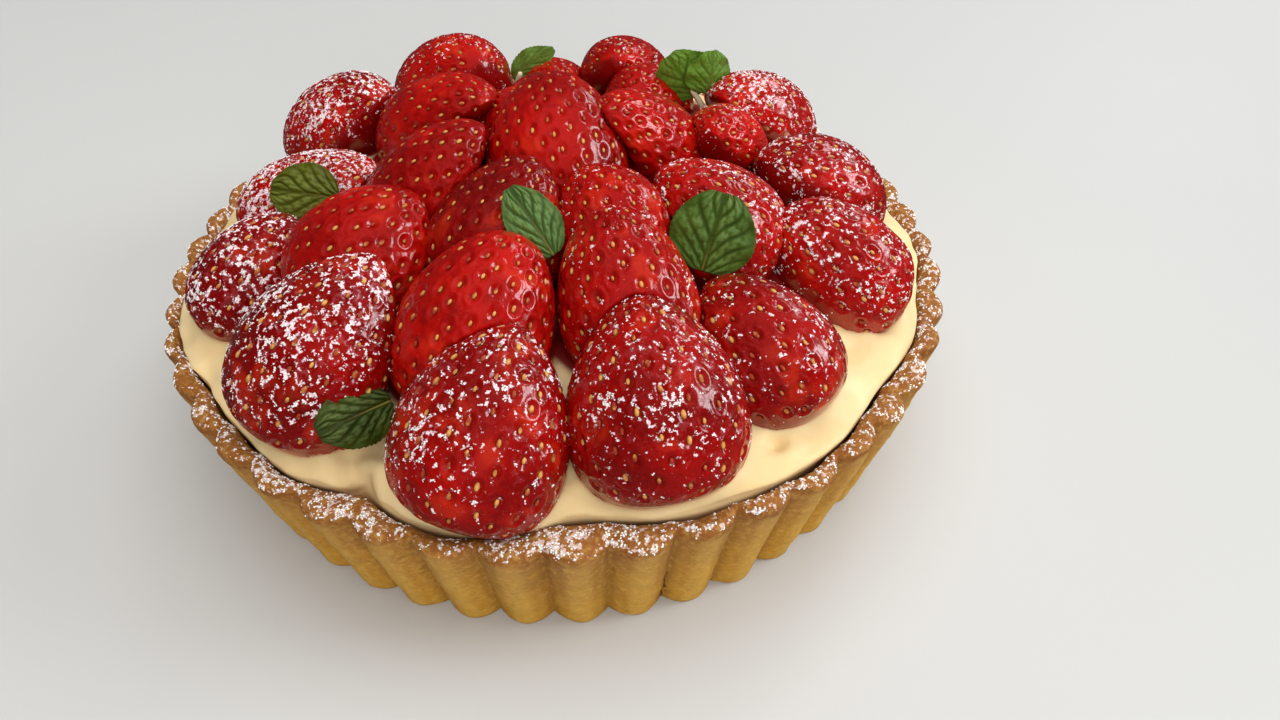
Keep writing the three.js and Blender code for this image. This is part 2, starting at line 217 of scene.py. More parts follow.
corners = [(x * TABLE_REACH, y * TABLE_REACH, 0) for x, y in ((-1, -1), (1, -1), (1, 1), (-1, 1))]
table_top = new_mesh("table_top", corners, [(0, 1, 2, 3)])
floor = new_object("table", table_top)
matt, here, shader = new_material("pale matt table", {"Specular IOR Level": 0.3})
here.noise(0.4).tint(colour(190, 191, 190), colour(198, 199, 199)).into(shader, "Base Color")
(0.45 + 0.1 * here.noise(0.03)).into(shader, "Roughness")
table_top.materials.append(matt)
floor.visible_glossy = False

camera = new_object("camera", bpy.data.cameras.new("camera"))
camera.data.sensor_width = 36
camera.data.lens = camera.data.sensor_width * LENS_IN_PIXELS / FRAME_WIDTH
back = Vector((0, -math.cos(CAMERA_UP), math.sin(CAMERA_UP)))
sideways = Matrix.Rotation(-CAMERA_ROLL, 3, back) @ Vector((1, 0, 0))
turned = Matrix((sideways, back.cross(sideways), back)).transposed()
camera.matrix_world = Matrix.Translation(LOOK_AT + back * CAMERA_AWAY) @ turned.to_4x4()
bpy.context.scene.camera = camera


# ---- The case ----
# Shortcrust, pressed into a fluted 18 cm tin and baked blind. Its wall took the tin's flutes, its rim
# browned and sagged a little, and the crumb shows in small lumps and pits.
RIM_RADIUS = 90 * MM
BASE_RADIUS = 82.5 * MM
RIM_HEIGHT = 33 * MM
WALL_THICKNESS = 4.4 * MM
FLOOR_THICKNESS = 5 * MM
FOOT_BEVEL = 0.6 * MM
FLUTES = 46
FIRST_FLUTE = math.radians(-155.1)
FLUTE_DEPTH = 3 * MM
INNER_FLUTE_DEPTH = 0.8 * MM
RIDGE_ROUNDNESS = 0.85
RIM_ROUNDING = 3 * MM
RIM_FULLNESS = 0.7
RIM_SAG = 0.9 * MM
RIM_RIPPLE = 0.7 * MM
RIDGE_RISE = 0.5 * MM
WALL_ROWS = 44
RIM_ROWS = 15
INSIDE_ROWS = 8
STEPS_PER_FLUTE = 24
# Points that are closer than this are one.
SAME_POINT = 0.02 * MM
# Where the rim was pressed thicker or thinner: azimuth, extra thickness and spread in degrees.
RIM_BULGES = [
    (-159, -1.5, 12), (-144, 1.2, 5), (-133, 0.9, 5), (-113, 3.4, 6), (-84, 4, 10),
    (-35, 2.4, 8), (-12, 1.4, 6), (14, 2.2, 9), (35, 2, 9), (88, 1.6, 12), (140, 1.8, 8),
]
# How wide the crumb's lumps, streaks and pits are, and the heights between which the sugar begins.
LUMP_SIZE = 7 * MM
STREAK_SIZE = 2.2 * MM
PIT_SIZE = 1.5 * MM
DUSTED_HEIGHT = (RIM_HEIGHT - 4 * MM, RIM_HEIGHT - 1.5 * MM)


def on_wires_too(operation, on_numbers):
    """A function of numbers that does the same to a wire with a Math node."""
    return lambda value: value.math(operation) if isinstance(value, Wire) else on_numbers(value)


sine = on_wires_too("SINE", np.sin)
cosine = on_wires_too("COSINE", np.cos)
size_of = on_wires_too("ABSOLUTE", np.abs)
exponential = on_wires_too("EXPONENT", np.exp)


def bell(value):
    """1 at 0, falling to almost nothing past 2 either way."""
    return exponential(-(value * value))


def unevenness(angle, waves, seed):
    """A smooth uneven value round the tart, between about -1 and 1."""
    return sum(sine(angle * (waves + i * 2) + seed * (i + 1.7)) / (i + 1) for i in range(3)) / 1.6


def flute_ridge(angle):
    """1 on the ridge of a flute, 0 in the sharp valley between two."""
    return size_of(cosine((angle - FIRST_FLUTE) * (FLUTES / 2))) ** RIDGE_ROUNDNESS


def rim_rise(angle):
    """The rim sags and rises with the pressing of the flutes."""
    sag = unevenness(angle, 2, 4.2) * RIM_SAG
    ripple = unevenness(angle, 17, 1.3) * RIM_RIPPLE
    return sag + ripple + flute_ridge(angle) * RIDGE_RISE


def rim_bulge(angle):
    """Extra thickness on the inside of the rim."""
    total = 0
    for at, by, spread in RIM_BULGES:
        half_away = sine((angle - math.radians(at)) * 0.5)
        total = total + bell(2 * half_away / math.radians(spread)) * (by * MM)
    return total


def ridge_radius(height):
    return BASE_RADIUS + height * ((RIM_RADIUS - BASE_RADIUS) / RIM_HEIGHT)


def inside_radius(angle, height, valley):
    pressed = INNER_FLUTE_DEPTH * valley + rim_bulge(angle)
    return ridge_radius(height) - WALL_THICKNESS - pressed * (height / RIM_HEIGHT)


def case_section():
    """The wall's section: how far each point lies from the inside (0) to the outside (1) of the wall,
    what share of the way it is from the axis to the wall, and its height."""
    shoulder = RIM_HEIGHT - RIM_ROUNDING - 1 * MM
    points = [(1, reach, 0) for reach in (0, 0.5, 0.85, 0.985)]
    points += [(1, 1, FOOT_BEVEL + height) for height in np.linspace(0, shoulder, WALL_ROWS)]
    for turn in np.linspace(0, math.pi, RIM_ROWS):
        height = RIM_HEIGHT - RIM_ROUNDING + RIM_ROUNDING * math.sin(turn) ** RIM_FULLNESS
        points.append((0.5 + 0.5 * math.cos(turn), 1, height))
    points += [(0, 1, height) for height in np.linspace(shoulder, FLOOR_THICKNESS, INSIDE_ROWS)]
    points += [(0, reach, FLOOR_THICKNESS) for reach in (0.85, 0.5, 0)]
    return points


def new_tree(name, sockets):
    """A Geometry Nodes tree with inputs of these kinds and names: the tree, and a wire of each input."""
    tree = bpy.data.node_groups.new(name, "GeometryNodeTree")
    tree.interface.new_socket("Geometry", in_out="OUTPUT", socket_type="NodeSocketGeometry")
    tree.interface.new_socket("Geometry", in_out="INPUT", socket_type="NodeSocketGeometry")
    for kind, labels in sockets.items():
        for label in labels:
            tree.interface.new_socket(label, in_out="INPUT", socket_type="NodeSocket" + kind)
    entry = tree.nodes.new("NodeGroupInput")
    return tree, {output.name: Wire(tree, output) for output in entry.outputs}


def end_tree(geometry):
    """Realizes what a tree has made and gives it out."""
    whole = geometry.node("GeometryNodeRealizeInstances", {}, {"Geometry": geometry})
    out = geometry.tree.nodes.new("NodeGroupOutput")
    geometry.tree.links.new(whole.socket, out.inputs["Geometry"])


def grown(name, mesh, tree, **values):
    """An object with the plain mesh that a Geometry Nodes tree makes of a mesh."""
    thing = new_object(name, mesh)
    modifier = thing.modifiers.new(tree.name, "NODES")
    modifier.node_group = tree
    for item in tree.interface.items_tree:
        key = item.name.replace(" ", "_").lower()
        if item.in_out == "INPUT" and key in values:
            modifier[item.identifier] = values[key]
    scene_state = bpy.context.evaluated_depsgraph_get()
    result = bpy.data.meshes.new_from_object(thing.evaluated_get(scene_state), depsgraph=scene_state)
    thing.modifiers.clear()
    thing.data = result
    result.name = name
    return thing


def moved(geometry, position):
    return geometry.node("GeometryNodeSetPosition", {}, {"Geometry": geometry, "Position": position})


def swollen(geometry, height):
    """A surface with its points moved out of it by a height."""
    offset = height.scale(geometry.node("GeometryNodeInputNormal"))
    return geometry.node("GeometryNodeSetPosition", {}, {"Geometry": geometry, "Offset": offset})


def stored(geometry, name, value):
    settings = {"data_type": "FLOAT", "domain": "POINT"}
    links = {"Geometry": geometry, "Name": name, "Value": value}
    return geometry.node("GeometryNodeStoreNamedAttribute", settings, links)


def finished(geometry, material):
    smooth = geometry.node("GeometryNodeSetShadeSmooth", {}, {0: geometry})
    return geometry.node("GeometryNodeSetMaterial", {}, {"Geometry": smooth, "Material": material})


def case_tree(material):
    """Sweeps the wall's section round the tart and presses the flutes, lumps and pits into it."""
    sockets = {"Int": ["Steps"], "Float": ["Lumps", "Crumb", "Pits", "Dust"]}
    tree, given = new_tree("fluted case", sockets)
    section = given["Geometry"]
    rows = section.node("GeometryNodeAttributeDomainSize", {}, {0: section}, "Point Count")
    grid_size = {"Size X": 1, "Size Y": 1, "Vertices X": given["Steps"] + 1, "Vertices Y": rows}
    grid = section.node("GeometryNodeMeshGrid", {}, grid_size)
    here = grid.node("GeometryNodeInputPosition")
    flat_x, flat_y, _ = here.parts()
    angle = flat_x * (2 * math.pi) + FIRST_FLUTE
    row = ((flat_y + 0.5) * (rows - 1)).math("ROUND")
    links = {"Geometry": section, "Value": here, "Index": row}
    place = grid.node("GeometryNodeSampleIndex", {"data_type": "FLOAT_VECTOR"}, links)
    across, reach, height = place.parts()
    valley = 1 - flute_ridge(angle)
    outside = ridge_radius(height) - valley * FLUTE_DEPTH
    inside = inside_radius(angle, height, valley)
    radius = (inside + (outside - inside) * across) * reach
    up = height + rim_rise(angle) * (height / RIM_HEIGHT)
    bent = {"X": radius * cosine(angle), "Y": radius * sine(angle), "Z": up}
    case = moved(grid, grid.node("ShaderNodeCombineXYZ", {}, bent))
    case = case.node("GeometryNodeMergeByDistance", {}, {"Geometry": case, "Distance": SAME_POINT})
    lumps = (here.noise(LUMP_SIZE) - 0.5) * given["Lumps"]
    crumb = (here.vector("MULTIPLY", (1, 1, 2.2)).noise(STREAK_SIZE, 3) - 0.5) * given["Crumb"]
    pits = here.noise(PIT_SIZE, 1).ramp(0.68, 0.8) * given["Pits"]
    case = stored(swollen(case, lumps + crumb - pits), "pit", pits / given["Pits"])
    high = here.parts()[2].ramp(*DUSTED_HEIGHT)
    upwards = here.node("GeometryNodeInputNormal").parts()[2].ramp(0.15, 0.5)
    end_tree(finished(stored(case, "dust", high * upwards * given["Dust"]), material))
    return tree


CLUMP_SIZE = 1.05 * MM


def dusting(here, amount, size):
    """Where sugar lies: 1 in clumps that grow with the amount."""
    clumps = here.noise(size, 3, 0.6) + (here.noise(size * 7) - 0.5) * 0.3
    return (clumps + amount * 0.18).ramp(0.7, 0.73)


def sugar_film(here, dust):
    """How thick sugar lies: in clumps, and nowhere that none was sifted."""
    return dusting(here, dust, CLUMP_SIZE) * dust.ramp(0.02, 0.15)


def mesh_value(here, name, out="Fac"):
    """A value that the piece's mesh holds under this name."""
    return here.node("ShaderNodeAttribute", {"attribute_name": name}, {}, out)


CRACK_AT = math.radians(-73)
CRACK_WIDTH = 0.0025
CRACK_TOP = (12 * MM, 17 * MM)
shortcrust, here, shader = new_material("baked shortcrust", {"Specular IOR Level": 0.35})
x, y, height = here.parts()
azimuth = y.math("ARCTAN2", x)
ridge = flute_ridge(azimuth)
cloud = here.noise(9 * MM, 3)
fine = here.noise(1.2 * MM, 3, 0.65)
browning = (height / RIM_HEIGHT + (cloud - 0.5) * 0.8).ramp(0.1, 1.05)
base = browning.tint(colour(190, 139, 43), colour(161, 111, 51))
# Painted shade and highlight: the flutes' valleys are painted darker and their ridges lighter.
base = ((1 - ridge.ramp(0.1, 0.6)) * 0.5).tint(base, colour(132, 84, 22))
base = (ridge.ramp(0.7, 1) * 0.25).tint(base, colour(236, 192, 96))
edge = (height / RIM_HEIGHT + (cloud - 0.5) * 0.15).ramp(0.88, 0.98)
base = (edge * 0.85).tint(base, colour(134, 76, 29))
base = (fine.ramp(0.42, 0.75) * 0.3).tint(base, colour(232, 190, 100))
streaks = here.vector("MULTIPLY", (1, 1, 3)).noise(3 * MM, 3, 0.6)
base = (streaks.ramp(0.6, 0.72) * 0.3).tint(base, colour(146, 92, 44))
# Painted shade: the crumb's pits are painted darker.
base = (mesh_value(here, "pit") * 0.6).tint(base, colour(110, 68, 30))
film = sugar_film(here, mesh_value(here, "dust"))
base = (film * 0.6).tint(base, colour(240, 220, 216))
crooked = (here.noise(3 * MM, 2) - 0.5) * 0.02
crack = bell((azimuth + crooked - CRACK_AT) / CRACK_WIDTH) * (1 - height.ramp(*CRACK_TOP))
(crack * 0.8).tint(base, colour(70, 40, 16)).into(shader, "Base Color")
(0.6 + 0.2 * fine).into(shader, "Roughness")
relief(here, fine + 0.6 * here.noise(0.5 * MM, 2) - crack, 0.35 * MM).into(shader, "Normal")

case = grown(
    "case", new_mesh("case_section", case_section()), case_tree(shortcrust),
    steps=FLUTES * STEPS_PER_FLUTE, lumps=0.9 * MM, crumb=0.35 * MM, pits=0.4 * MM, dust=0.85,
)
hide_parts("crust")
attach(case, "root")


# ---- The strawberries ----
# Ripe berries, hulled, halved and laid cut side down in three rings round a crown, tips up and towards
# the middle. Where two press together the one in front keeps its shape and dents the other. Each seed
# sits in a dimple of the soft skin.
# A berry's back as high as it is half wide, how blunt its stalk end is, which share of its length lies
# before its middle, and the soft lumps of its skin: their height, how many waves make them, how close.
BERRY_DEPTH = 0.9
BERRY_SHOULDER = 0.36
BERRY_MIDDLE = 0.45
BERRY_LUMPS = 0.6 * MM
LUMP_WAVES = 5
RADIANS_PER_METRE = 160
FAR_OUTSIDE = 9
# A usual berry in millimetres and degrees, and each ring's: how far out and up its middle is, its lean,
# swing and roll, length, width, how pointed its tip and how swollen its cut side is, how dusted, how
# light its red is, how far apart its seeds are and their size beside the largest. The lightness is partly
# ripeness and partly painted shade: a berry that stands in shadow is given a darker red.
USUAL_BERRY = dict(swing=0, roll=0, point=0.62, swell=0.4, dust=0, lightness=0.5, seed=0.82)
RINGS = {
    "outer": dict(out=67, up=42, lean=40, long=37, wide=30, dust=0.5, gap=4.3, seed=1),
    "middle": dict(out=45, up=48, lean=38, long=34, wide=30, point=0.61, dust=0.02, gap=3.8, seed=0.86),
    "inner": dict(out=25, up=52, lean=42, long=36, wide=29, gap=3.7),
    "crown": dict(out=-2.5, up=55.5, lean=36, long=36.5, wide=32, gap=3.6),
}
# Each berry by its azimuth and what sets it apart from its ring's usual one, from the front round.
BERRIES = {
    "outer": [
        dict(at=-97, out=71, up=43, lean=47, swing=-19, roll=-17, long=38, wide=32.1, point=0.68,
             dust=0.56, lightness=0.32),
        dict(at=-71.4, out=68, up=44, lean=45, swing=-5, roll=3, long=38, wide=33.9, dust=0.54, lightness=0.33),
        dict(at=-47, out=64, up=41, lean=27, roll=-17, long=34, swell=0.7, dust=0.46, lightness=0.33),
        dict(at=-18, out=66, swing=7, roll=7, long=35, wide=28, point=0.58, swell=1.2, dust=0.58,
             lightness=0.44),
        dict(at=7, out=61, up=43, swing=16, roll=-19, long=36, swell=0.7, dust=0.62, lightness=0.4),
        dict(at=42, up=41, swing=-3, roll=-3, dust=0.72, lightness=0.56),
        dict(at=78, out=68, lean=42, long=36, wide=27.5, swell=1, dust=0.25),
        dict(at=119, out=68, up=43, swing=12, roll=3, wide=32.5, swell=1, dust=0.36, lightness=0.58),
        dict(at=148, out=68, up=43, lean=43, swing=3, roll=-4, wide=31, swell=0.7, dust=0.85, lightness=0.44),
        dict(at=175, out=60, up=40, lean=31, roll=10, long=38, wide=28.5, dust=0.95),
        dict(at=-159, out=69, up=40, lean=38, swing=25, roll=21, long=31, wide=27, point=0.56,
             dust=0.85, lightness=0.24),
        dict(at=-128, up=45, lean=44, swing=-6, roll=-7, long=40, wide=32.5, dust=0.75, lightness=0.24),
    ],
    "middle": [
        dict(at=-104, out=51, lean=40, swing=-18, roll=-13, long=38, point=0.54, dust=0.04),
        dict(at=-69, up=50, lean=46, swing=-3, roll=4, long=35, wide=28, point=0.57, dust=0.25),
        dict(at=-26, out=39, up=50, lean=41, swing=10, long=32, swell=0.7, dust=0.48, lightness=0.46),
        dict(at=26, out=44, lean=40, swing=47, roll=22, long=32, wide=22, swell=0.8, dust=0.25, lightness=0.64),
        dict(at=67, out=52, up=44, swing=7, roll=-4, long=33, wide=24.5, point=0.64, dust=0.05),
        dict(at=95, out=68, up=37, lean=35, swing=-4, wide=23.5, point=0.65, dust=0.1),
        dict(at=142, out=38, up=50, swing=6, roll=8, long=38),
        dict(at=-144, out=47, swing=3, roll=-7, long=33, wide=32),
        dict(at=97, out=39, up=46, lean=32, swing=8, long=32, wide=26),
        dict(at=63, out=31, up=44, lean=30, swing=-6, long=29, wide=24),
    ],
    "inner": [
        dict(at=-61, out=26, up=54, lean=28, swing=-4, roll=4, long=27, wide=25.5, dust=0.2, lightness=0.45),
        dict(at=35, out=23, lean=46, swing=21, roll=26, long=37, point=0.65, swell=0.7, dust=0.02,
             lightness=0.58),
        dict(at=-167, out=28, up=51, lean=49, roll=3, long=37, dust=0.03, lightness=0.42),
        dict(at=-112, out=26, lean=39, swing=-2, roll=7, long=33, wide=30.5, dust=0.04, lightness=0.25),
        dict(at=116, out=23, up=50, lean=38, swing=4, long=32, wide=27),
    ],
    "crown": [dict(at=-90, swing=6, point=0.56, swell=0.3, lightness=0.45)],
}
# Each berry's points along it and round its back and its cut side, in the front half and the back one.
FRONT_STEPS = (136, 132, 18)
BACK_STEPS = (96, 92, 16)
# A dented berry's skin is drawn in towards the core of its axis. The dent's depth is sought in steps.
TOUCHING_DISTANCE = 45 * MM
CORE_ENDS = (0.12, 0.88)
DENT_STEPS = 32
DENT_HALVINGS = 5
LEAST_SKIN = 0.03
DENT_SOFTENING = 3


def girth(t, point):
    """Share of a berry's half width at t, from 0 at the stalk end to 1 at the tip."""
    widest = BERRY_SHOULDER / (BERRY_SHOULDER + point)
    return (t / widest) ** BERRY_SHOULDER * ((1 - t) / (1 - widest)) ** point


def direction(azimuth, height):
    """The direction at these angles, round from +X and up from the table."""
    level = math.cos(height)
    return Vector((level * math.cos(azimuth), level * math.sin(azimuth), math.sin(height)))


def berry_axes(berry):
    """The berry's own axes as rows: across it, from its stalk end to its tip, and out of its back."""
    heading = math.radians(berry["at"] + 180 + berry["swing"])
    along = direction(heading, math.radians(berry["lean"]))
    level = Vector((math.sin(heading), -math.cos(heading), 0))
    across = Matrix.Rotation(-math.radians(berry["roll"]), 3, along) @ level
    return np.array([across, along, across.cross(along)])


def list_berries():
    """All the berries from the front of the tart to its back."""
    berries = []
    for ring, usual in RINGS.items():
        for number, own in enumerate(BERRIES[ring], 1):
            berry = {**USUAL_BERRY, **usual, **own}
            berry["node"] = "berry_crown" if ring == "crown" else f"berry_{ring}_{number}"
            at = math.radians(berry["at"])
            out = berry["out"]
            berry["middle"] = np.array((out * math.cos(at), out * math.sin(at), berry["up"])) * MM
            berry["axes"] = berry_axes(berry)
            berry["number"] = len(berries)
            berries.append(berry)
    return sorted(berries, key=lambda b: b["middle"][1])


def depth_in(berry, points):
    """How deep points lie in a berry: 0 on its axis, 1 on its skin, more outside it."""
    across, along, out = ((points - berry["middle"]) @ berry["axes"].T).T
    t = along / (berry["long"] * MM) + BERRY_MIDDLE
    half = berry["wide"] / 2 * MM * girth(np.clip(t, 1e-4, 1 - 1e-4), berry["point"])
    rise = np.where(out > 0, BERRY_DEPTH, berry["swell"])
    depth = np.hypot(across, out / rise) / half
    return np.where((t > 0) & (t < 1), depth, FAR_OUTSIDE)


def depth_in_any(berries, points):
    """How deep points lie in whichever of some berries they are deepest in."""
    return np.min([depth_in(berry, points) for berry in berries], axis=0)


def on_core(berry, t):
    """The points of a berry's core beside these places from its stalk end (0) to its tip (1)."""
    t = np.clip(t, *CORE_ENDS)
    return np.outer((t - BERRY_MIDDLE) * berry["long"] * MM, berry["axes"][1]) + berry["middle"]


def berry_points(berry, along, over, under, shrink=0):
    """The skin's points, their places along the berry from 0 to 1 and their angles round it."""
    even = np.arange(along + 1) / along
    t = (even + (1 - np.cos(np.pi * even)) / 2) / 2
    round_over = np.pi * np.arange(over) / over
    round_under = np.pi * (1 + np.arange(under) / under)
    turn = np.concatenate([round_over, round_under])
    t, turn = [grid.ravel() for grid in np.meshgrid(t, turn, indexing="ij")]
    half = (berry["wide"] / 2 * MM - shrink) * girth(t, berry["point"])
    rise = np.where(np.sin(turn) > 0, BERRY_DEPTH, berry["swell"])
    long = berry["long"] * MM - 2 * shrink
    local = np.stack([half * np.cos(turn), (t - BERRY_MIDDLE) * long, half * rise * np.sin(turn)], 1)
    random = np.random.default_rng(berry["number"])
    ways = random.normal(0, RADIANS_PER_METRE, (3, LUMP_WAVES))
    waves = np.sin(local @ ways + random.uniform(0, 2 * np.pi, LUMP_WAVES))
    lumps = waves.mean(1) * BERRY_LUMPS
    local += local / np.linalg.norm(local, axis=1, keepdims=True) * lumps[:, None]
    return local @ berry["axes"] + berry["middle"], t, turn


def neighbour(rows, step):
    """Each row's next (1) or last (-1) row, where an end row is its own neighbour."""
    return rows[np.clip(np.arange(len(rows)) + step, 0, len(rows) - 1)]


def largest_patch(free, columns):
    """Of a tube's free points, those that hang together in the largest patch."""
    label = np.where(free, np.arange(free.size), -1).reshape(-1, columns)
    while True:
        beside = np.maximum(np.roll(label, 1, axis=1), np.roll(label, -1, axis=1))
        spread = np.maximum.reduce([label, neighbour(label, 1), neighbour(label, -1), beside])
        spread[~free.reshape(-1, columns)] = -1
        if (spread == label).all():
            break
        label = spread
    kept, sizes = np.unique(label[label >= 0], return_counts=True)
    return (label == kept[np.argmax(sizes)]).ravel()


def pressed(points, t, berry, in_front, columns):
    """Draws the skin in towards the core where the berries in front press on it or cut it off."""
    middle = berry["middle"]
    close = [f for f in in_front if np.linalg.norm(f["middle"] - middle) < TOUCHING_DISTANCE]
    if not close:
        return points
    cut = ~largest_patch(depth_in_any(close, points) > 1, columns)
    core = on_core(berry, t[cut])
    rays = points[cut] - core
    reach = np.ones(len(rays))
    for share in np.linspace(1, 0, DENT_STEPS + 1):
        reach[depth_in_any(close, core + rays * share) < 1] = share
    near = np.maximum(reach - 1 / DENT_STEPS, LEAST_SKIN)
    far = np.maximum(reach, LEAST_SKIN)
    for _ in range(DENT_HALVINGS):
        half_way = (near + far) / 2
        touching = depth_in_any(close, core + rays * half_way[:, None]) < 1
        near = np.where(touching, near, half_way)
        far = np.where(touching, half_way, far)
    share = np.ones(len(points))
    share[cut] = near
    share = share.reshape(-1, columns)
    for _ in range(DENT_SOFTENING):
        beside = np.roll(share, 1, axis=1) + np.roll(share, -1, axis=1)
        ends = neighbour(share, 1) + neighbour(share, -1)
        share = np.minimum(share, share / 2 + (beside + ends) / 8)
    core = on_core(berry, t)
    return core + (points - core) * share.reshape(-1, 1)


def grid_faces(rows, columns):
    """Faces of a tube of points with a closed cap at both ends."""
    corner = np.arange(rows * columns).reshape(rows, columns)
    beside = np.roll(corner, -1, axis=1)
    return np.stack([corner[:-1], beside[:-1], beside[1:], corner[1:]], -1).reshape(-1, 4)


def write_attribute(mesh, name, values):
    mesh.attributes.new(name, "FLOAT", "POINT").data.foreach_set("value", np.asarray(values, np.float32))


def merged(mesh, gap):
    """The mesh with its doubled points merged and its faces outwards."""
    work = bmesh.new()
    work.from_mesh(mesh)
    bmesh.ops.remove_doubles(work, verts=work.verts, dist=gap)
    bmesh.ops.recalc_face_normals(work, faces=work.faces)
    work.to_mesh(mesh)
    work.free()
    return mesh


def berry_mesh(berry, in_front):
    """A berry's skin without its seeds, with its dust, its lightness (ripeness and painted shade) and how
    far under each point is.
    """
    along, over, under = FRONT_STEPS if berry["middle"][1] < 0 else BACK_STEPS
    points, t, turn = berry_points(berry, along, over, under)
    points = pressed(points, t, berry, in_front, over + under)
    mesh = new_mesh(berry["node"], points, grid_faces(along + 1, over + under))
    write_attribute(mesh, "under", np.clip(-np.sin(turn) * 4, 0, 1))
    mesh = merged(mesh, SAME_POINT)
    facing_up = np.clip(np.array([v.normal.z for v in mesh.vertices]) * 0.9 + 0.45, 0, 1)
    write_attribute(mesh, "dust", berry["dust"] * facing_up)
    write_attribute(mesh, "lightness", np.full(len(facing_up), berry["lightness"]))
    return mesh


# A berry has SEED_FILL seeds for each square of their gap in its length times its width. They lie in a
# spiral, turned by SEED_SHIFT from berry to berry, from end to end of its back and a little past the edge
# of the cut, and none lie where another berry has dented the skin by more than DENTED.
SEED_FILL = 1.42
SEED_SHIFT = 0.37
GOLDEN_SHARE = 0.61803
SEEDED_FROM = 0.05
SEEDED_LENGTH = 0.92
PAST_THE_CUT = 0.1
DENTED = 1.2 * MM
# A seed's width, length and thickness, and how much of that its middle is sunk. Its dimple is longer than
# wide, with a soft pit and a raised ring: places and widths as shares of its radius, and the ring's height
# as a share of the pit's depth.
SEED_SHAPE = (0.8 * MM, 1.45 * MM, 0.6 * MM)
SEED_SUNK = 0.5
DIMPLE_STRETCH = 1.5
PIT_WIDTH = 0.62
RING_AT = 1.05
RING_WIDTH = 0.3
RING_HEIGHT = 0.3


def drawn(index, low, high, seed):
    """A random number from low to high for each index."""
    links = {2: low, 3: high, "ID": index, "Seed": seed}
    return index.node("FunctionNodeRandomValue", {}, links, 1)


def on_nearest(surface, value, here):
    """A place or direction at the spot of a surface that is nearest to here."""
    links = {"Mesh": surface, "Value": value, "Sample Position": here}
    return surface.node("GeometryNodeSampleNearestSurface", {"data_type": "FLOAT_VECTOR"}, links)


def berry_tree(skin, seed_skin):
    """Lays seeds in a spiral over the berry's skin and sinks a dimple round each."""
    tree, given = new_tree("seeds in dimples", {
        "Int": ["Seeds"],
        "Float": ["Start", "Long", "Wide", "Point", "Dimple Depth", "Dimple Radius", "Seed Size"],
        "Vector": ["Middle", "Across", "Along", "Out"],
    })
    berry = given["Geometry"]
    index = berry.node("GeometryNodeInputIndex")
    jitter = drawn(index, -0.025, 0.025, 3)
    slip = drawn(index, -0.012, 0.012, 4)
    t = ((index + 0.5) / given["Seeds"]) * SEEDED_LENGTH + SEEDED_FROM + slip
    golden = (index * GOLDEN_SHARE + given["Start"]).math("FRACT")
    turn = (golden * (1 + 2 * PAST_THE_CUT) - PAST_THE_CUT + jitter) * math.pi
    half = given["Wide"] * 0.5 * girth(t, given["Point"])
    place = given["Middle"]
    place = place.vector("ADD", (half * cosine(turn)).scale(given["Across"]))
    place = place.vector("ADD", ((t - BERRY_MIDDLE) * given["Long"]).scale(given["Along"]))
    place = place.vector("ADD", (half * sine(turn) * BERRY_DEPTH).scale(given["Out"]))
    spots = berry.node("GeometryNodePoints", {}, {"Count": given["Seeds"], "Position": place})
    here = berry.node("GeometryNodeInputPosition")
    on_skin = on_nearest(berry, here, here)
    dented = on_skin.vector("DISTANCE", here).math("GREATER_THAN", DENTED)
    links = {"Geometry": spots, "Selection": dented}
    spots = moved(spots.node("GeometryNodeDeleteGeometry", {"domain": "POINT"}, links), on_skin)
    links = {"Geometry": spots}
    nearest = berry.node("GeometryNodeProximity", {"target_element": "POINTS"}, links, "Position")
    gap = here.vector("SUBTRACT", nearest)
    lengthways = gap.vector("DOT_PRODUCT", given["Along"])
    away = gap.vector("LENGTH")
    squared = away * away - lengthways * lengthways * (1 - 1 / DIMPLE_STRETCH ** 2)
    share = squared.math("SQRT") / given["Dimple Radius"]
    pit = bell(share / PIT_WIDTH)
    ring = bell((share - RING_AT) / RING_WIDTH)
    skin_mesh = swollen(berry, (ring * RING_HEIGHT - pit) * given["Dimple Depth"])
    skin_mesh = finished(stored(skin_mesh, "pit", pit), skin)
    seed = berry.node("GeometryNodeMeshUVSphere", {}, {"Segments": 7, "Rings": 5, "Radius": 0.5})
    facing = on_nearest(berry, berry.node("GeometryNodeInputNormal"), here)
    axes = {"primary_axis": "Z", "secondary_axis": "Y"}
    rotation = berry.node("FunctionNodeAxesToRotation", axes, {0: facing, 1: given["Along"]})
    scale = (drawn(index, 0.8, 1.25, 5) * given["Seed Size"]).scale(SEED_SHAPE)
    links = {"Points": spots, "Instance": seed, "Rotation": rotation, "Scale": scale}
    seeds = berry.node("GeometryNodeInstanceOnPoints", {}, links)
    links = {"Instances": seeds, "Translation": (0, 0, -SEED_SUNK)}
    seeds = finished(seeds.node("GeometryNodeTranslateInstances", {}, links), seed_skin)
    joined = tree.nodes.new("GeometryNodeJoinGeometry")
    for part in (seeds, skin_mesh):
        tree.links.new(part.socket, joined.inputs[0])
    end_tree(Wire(tree, joined.outputs[0]))
    return tree


skin, here, shader = new_material("strawberry skin", {
    "Subsurface Weight": 0.05, "Subsurface Radius": (1, 0.12, 0.06), "Subsurface Scale": 0.003,
    "Coat Roughness": 0.07, "Specular IOR Level": 0.42,
})
pit, dust, under, lightness = (mesh_value(here, name) for name in ("pit", "dust", "under", "lightness"))
# Each berry's red follows its lightness: partly ripeness, partly painted shade on the berries that stand in
# shadow.
base = (lightness + (here.noise(14 * MM, 2) - 0.5) * 0.7).ramp(0, 1).tint(colour(94, 1, 2), colour(208, 15, 6))
base = (here.noise(7 * MM, 1).ramp(0.56, 0.7) * 0.3).tint(base, colour(208, 52, 18))
